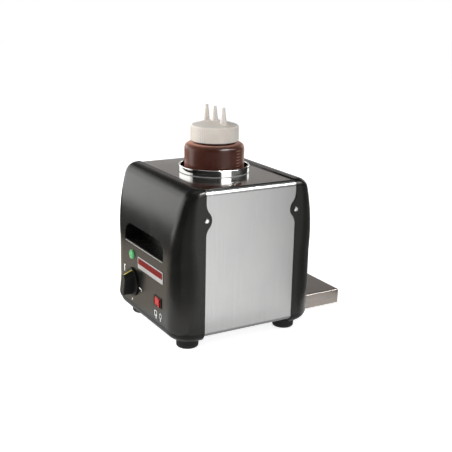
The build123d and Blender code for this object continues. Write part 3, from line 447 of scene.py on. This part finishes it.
markFaces = (along.size * np.arange(len(levels))[:, None, None] + boxFaces).reshape(-1, 4)
meshPiece("fillScale", marks.reshape(-1, 3), markFaces.tolist(), makeFinish("palePolyethylene", raisedScale),
          "bottle")
print("scale marks on the bottle:", len(levels))


# Studio: pale floor, white surround, soft lamps, and light and dark cloths that only reflections see

def lightSeen(tree):
    # 1 for what the camera, a mirror or a clear piece sees, 0 for light that falls on the object
    path = addNode(tree, "LightPath").outputs
    direct = addNode(tree, "Math", {0: path["Is Camera Ray"], 1: path["Is Glossy Ray"]}, operation="MAXIMUM")
    return addNode(tree, "Math", {0: direct, 1: path["Is Transmission Ray"]}, operation="MAXIMUM")


# White paper surround: full white where it is seen, less in the light that it throws
surround = {"falling": 0.3, "seen": 1.0}
world = bpy.data.worlds.new("whiteSurround")
bpy.context.scene.world = world
tree = emptyTree(world)
level = addNode(tree, "MapRange", {"Value": lightSeen(tree)},
                {"To Min": surround["falling"], "To Max": surround["seen"]})
sky = addNode(tree, "Background", {"Strength": level}, {"Color": "#ffffff"})
addNode(tree, "OutputWorld", {"Surface": sky})


def sheetPiece(name, grid, material):
    # quads over a grid of points
    rows, columns = grid.shape[:2]
    r, c = np.meshgrid(np.arange(rows - 1), np.arange(columns - 1), indexing="ij")
    a = r * columns + c
    quads = np.stack([a, a + 1, a + columns + 1, a + columns], axis=-1).reshape(-1, 4)
    mesh = bpy.data.meshes.new(name)
    mesh.from_pydata(grid.reshape(-1, 3).tolist(), [], quads.tolist())
    mesh.materials.append(material)
    piece = bpy.data.objects.new(name, mesh)
    bpy.context.scene.collection.objects.link(piece)
    return piece


def levelGrid(x, y, height):
    # rectangle at one height, from its least and most x and y
    gx, gy = np.meshgrid(np.array(x), np.array(y))
    return np.stack([gx, gy, np.full_like(gx, height)], axis=-1)


# Matt painted floor: pale grey that keeps the shadow, lifted to white where it is seen
studioFloor = {"x": (-6.0, 6.0), "y": (-6.0, 6.0), "height": -0.0001, "colour": "#ececec", "glow": 0.75}
floorPaint = bpy.data.materials.new("paleFloor")
tree = emptyTree(floorPaint)
matt = addNode(tree, "BsdfDiffuse", values={"Color": studioFloor["colour"]})
glow = addNode(tree, "MapRange", {"Value": lightSeen(tree)}, {"To Max": studioFloor["glow"]})
lit = addNode(tree, "Emission", {"Strength": glow}, {"Color": "#ffffff"})
addNode(tree, "OutputMaterial", {"Surface": addNode(tree, "AddShader", {0: matt, 1: lit})})
sheetPiece("floor", levelGrid(studioFloor["x"], studioFloor["y"], studioFloor["height"]), floorPaint)


def hangCloth(name, grid, cloth):
    # glowing cloth that only reflections see; a fade takes its grey to another one, over a span in metres
    # measured sideways from a line at that bearing
    paint = bpy.data.materials.new(name + "Cloth")
    tree = emptyTree(paint)
    shade = addNode(tree, "Emission",
                    values={"Color": cloth.get("colour", "#ffffff"), "Strength": cloth["grey"]})
    if "fade" in cloth:
        fade = cloth["fade"]
        place = addNode(tree, "TexCoord").outputs["Object"]
        swung = addNode(tree, "Mapping", {"Vector": place},
                        {"Rotation": (0, 0, -math.radians(fade["bearing"]))})
        across = addNode(tree, "SeparateXYZ", {"Vector": swung}).outputs["Y"]
        level = addNode(tree, "MapRange", {"Value": across},
                        {"From Min": fade["span"][0], "From Max": fade["span"][1],
                         "To Min": cloth["grey"], "To Max": fade["grey"]})
        tree.links.new(level.outputs[0], shade.inputs["Strength"])
    addNode(tree, "OutputMaterial", {"Surface": shade})
    hung = sheetPiece(name, grid, paint)
    for ray in ("camera", "diffuse", "transmission", "shadow", "volume_scatter"):
        setattr(hung, "visible_" + ray, False)


# Cloths round the bottle's axis: a straight line from the first to the last reach (metres out from the axis)
# and rise (metres up), carried between two bearings in degrees. One with no reach hangs on a round wall, and
# one with no rise lies on the floor
wallReach = (2.6, 2.6)
floorRise = (0.001, 0.001)
turnSteps = 49
flags = {
    "floorLeft": {"turn": (-205, -104), "reach": (0.17, 0.5), "grey": 1.04, "colour": "#fff4e2"},
    "tableEdge": {"turn": (-205, -104), "reach": (0.5, 2.6), "grey": 0.05},
    "tableFar": {"turn": (-139, -113), "reach": (1.0, 2.6), "rise": (0.002, 0.002), "grey": 2.5},
    "floorFront": {"turn": (-104, -58), "reach": (0.3, 2.6), "grey": 0.12},
    "floorNear": {"turn": (-58, -16), "reach": (0.3, 2.6), "grey": 0.43},
    "floorJoin": {"turn": (-16, -1), "reach": (0.3, 2.6), "grey": 0.78},
    "floorSide": {"turn": (-1, 35.2), "reach": (0.14, 2.6), "grey": 1.38,
                  "fade": {"bearing": 31.0, "span": (-0.168, 0.0), "grey": 1.0}},
    "floorPast": {"turn": (35.2, 48), "reach": (0.14, 2.6), "grey": 0.42},
    "floorBack": {"turn": (48, 110), "reach": (0.25, 2.6), "grey": 0.22},
    "flagFront": {"turn": (-102, -6), "rise": (0.001, 3.2), "grey": 0.03},
    "flagRight": {"turn": (26, 70), "rise": (0.001, 1.2), "grey": 0.05},
    "flagHigh": {"turn": (20, 70), "rise": (2.35, 3.2), "grey": 0.05},
    "flagBack": {"turn": (70, 107), "rise": (0.001, 3.2), "grey": 0.04},
    "whiteBehind": {"turn": (107, 128), "rise": (0.2, 1.2), "grey": 2.0},
    "flagBehind": {"turn": (107, 128), "rise": (1.2, 3.2), "grey": 0.04},
    "greyLeft": {"turn": (128, 180), "rise": (0.65, 1.25), "grey": 0.325, "colour": "#fff5ef"},
    "flagLeftBack": {"turn": (128, 180), "rise": (1.25, 3.2), "grey": 0.05},
    "flagLeft": {"turn": (180, 258), "rise": (1.5, 3.2), "grey": 0.04},
    "flagOver": {"turn": (0, 360), "reach": (1.5, 2.6), "rise": (3.2, 3.2), "grey": 0.04},
    "skyOver": {"turn": (0, 360), "reach": (0.001, 1.5), "rise": (3.2, 3.2), "grey": 0.65},
}
for name, flag in flags.items():
    turn = np.radians(np.linspace(*flag["turn"], turnSteps))[:, None]
    reach = np.array(flag.get("reach", wallReach))
    rise = np.array(flag.get("rise", floorRise))
    grid = np.stack([wellAxis[0] + reach * np.cos(turn), wellAxis[1] + reach * np.sin(turn),
                     rise * np.ones_like(turn)], axis=-1)
    hangCloth(name, grid, flag)

# Shade on the floor along the front and the right-hand side, as (least x, most x) by (least y, most y)
shades = {
    "shadeFront": {"x": (-0.14, 0.09), "y": (-0.178, -0.09), "height": 0.004, "grey": 0.48},
    "shadeUnder": {"x": (0.0, 0.135), "y": (-0.17, 0.085), "height": 0.003, "grey": 0.42},
    "shadeBeside": {"x": (0.0, 0.2), "y": (-0.17, 0.115), "height": 0.002, "grey": 0.94},
}
for name, shade in shades.items():
    hangCloth(name, levelGrid(shade["x"], shade["y"], shade["height"]), shade)

# Soft lamps; "mirrored" is false for one that no reflection shows, and "falls" is false for one that only
# reflections show
lamps = {
    "lampLeftLow": {"place": (-1.42, -0.98, 0.26), "size": (2.4, 0.5), "watts": 5.3},
    "lampLeftHigh": {"place": (-1.42, -0.98, 0.74), "size": (2.4, 0.46), "watts": 3.2},
    "lampLeftFill": {"place": (-1.3, -0.9, 0.6), "size": (0.8, 0.8), "watts": 14.0, "mirrored": False},
    "lampRight": {"place": (1.77, 0.27, 0.8), "size": (0.95, 0.7), "watts": 5.8},
    "lampSide": {"place": (1.22, 1.07, 1.16), "size": (1.15, 0.6), "watts": 5.0},
    "lampEdge": {"place": (1.14, 0.95, 1.19), "size": (1.0, 0.14), "watts": 8.0, "falls": False},
    "lampStrip": {"place": (1.36, 0.43, 1.63), "size": (0.85, 0.12), "watts": 50.0, "falls": False},
    "lampFront": {"place": (0.3, -1.9, 0.75), "size": (1.4, 1.0), "watts": 14.0, "mirrored": False},
}
aimHeight = 0.15
aim = Vector((wellAxis[0], wellAxis[1], aimHeight))
for name, lamp in lamps.items():
    light = bpy.data.lights.new(name, "AREA")
    light.shape = "RECTANGLE"
    light.size, light.size_y = lamp["size"]
    light.energy = lamp["watts"]
    holder = bpy.data.objects.new(name, light)
    holder.location = lamp["place"]
    holder.rotation_euler = (aim - holder.location).to_track_quat("-Z", "Y").to_euler()
    holder.visible_glossy = lamp.get("mirrored", True)
    holder.visible_diffuse = lamp.get("falls", True)
    bpy.context.scene.collection.objects.link(holder)
print("studio set with", len(lamps), "lamps and", len(flags) + len(shades), "cloths")

# Camera at the photograph's place
cameraView = {"place": (1.04091, -0.63096, 0.49193), "yaw": 59.475, "pitch": 16.091, "roll": 1.21,
              "lens": 66.25, "sensor": 36.0, "clip": (0.05, 50.0)}
camera = bpy.data.cameras.new("photoView")
camera.lens = cameraView["lens"]
camera.sensor_width = cameraView["sensor"]
camera.clip_start, camera.clip_end = cameraView["clip"]
viewer = bpy.data.objects.new("photoView", camera)
turned = Matrix.Rotation(math.radians(cameraView["yaw"]), 4, "Z")
tilted = Matrix.Rotation(math.radians(90 - cameraView["pitch"]), 4, "X")
rolled = Matrix.Rotation(math.radians(cameraView["roll"]), 4, "Z")
viewer.matrix_world = Matrix.Translation(cameraView["place"]) @ turned @ tilted @ rolled
bpy.context.scene.collection.objects.link(viewer)
bpy.context.scene.camera = viewer
bpy.context.scene.view_settings.view_transform = "Standard"
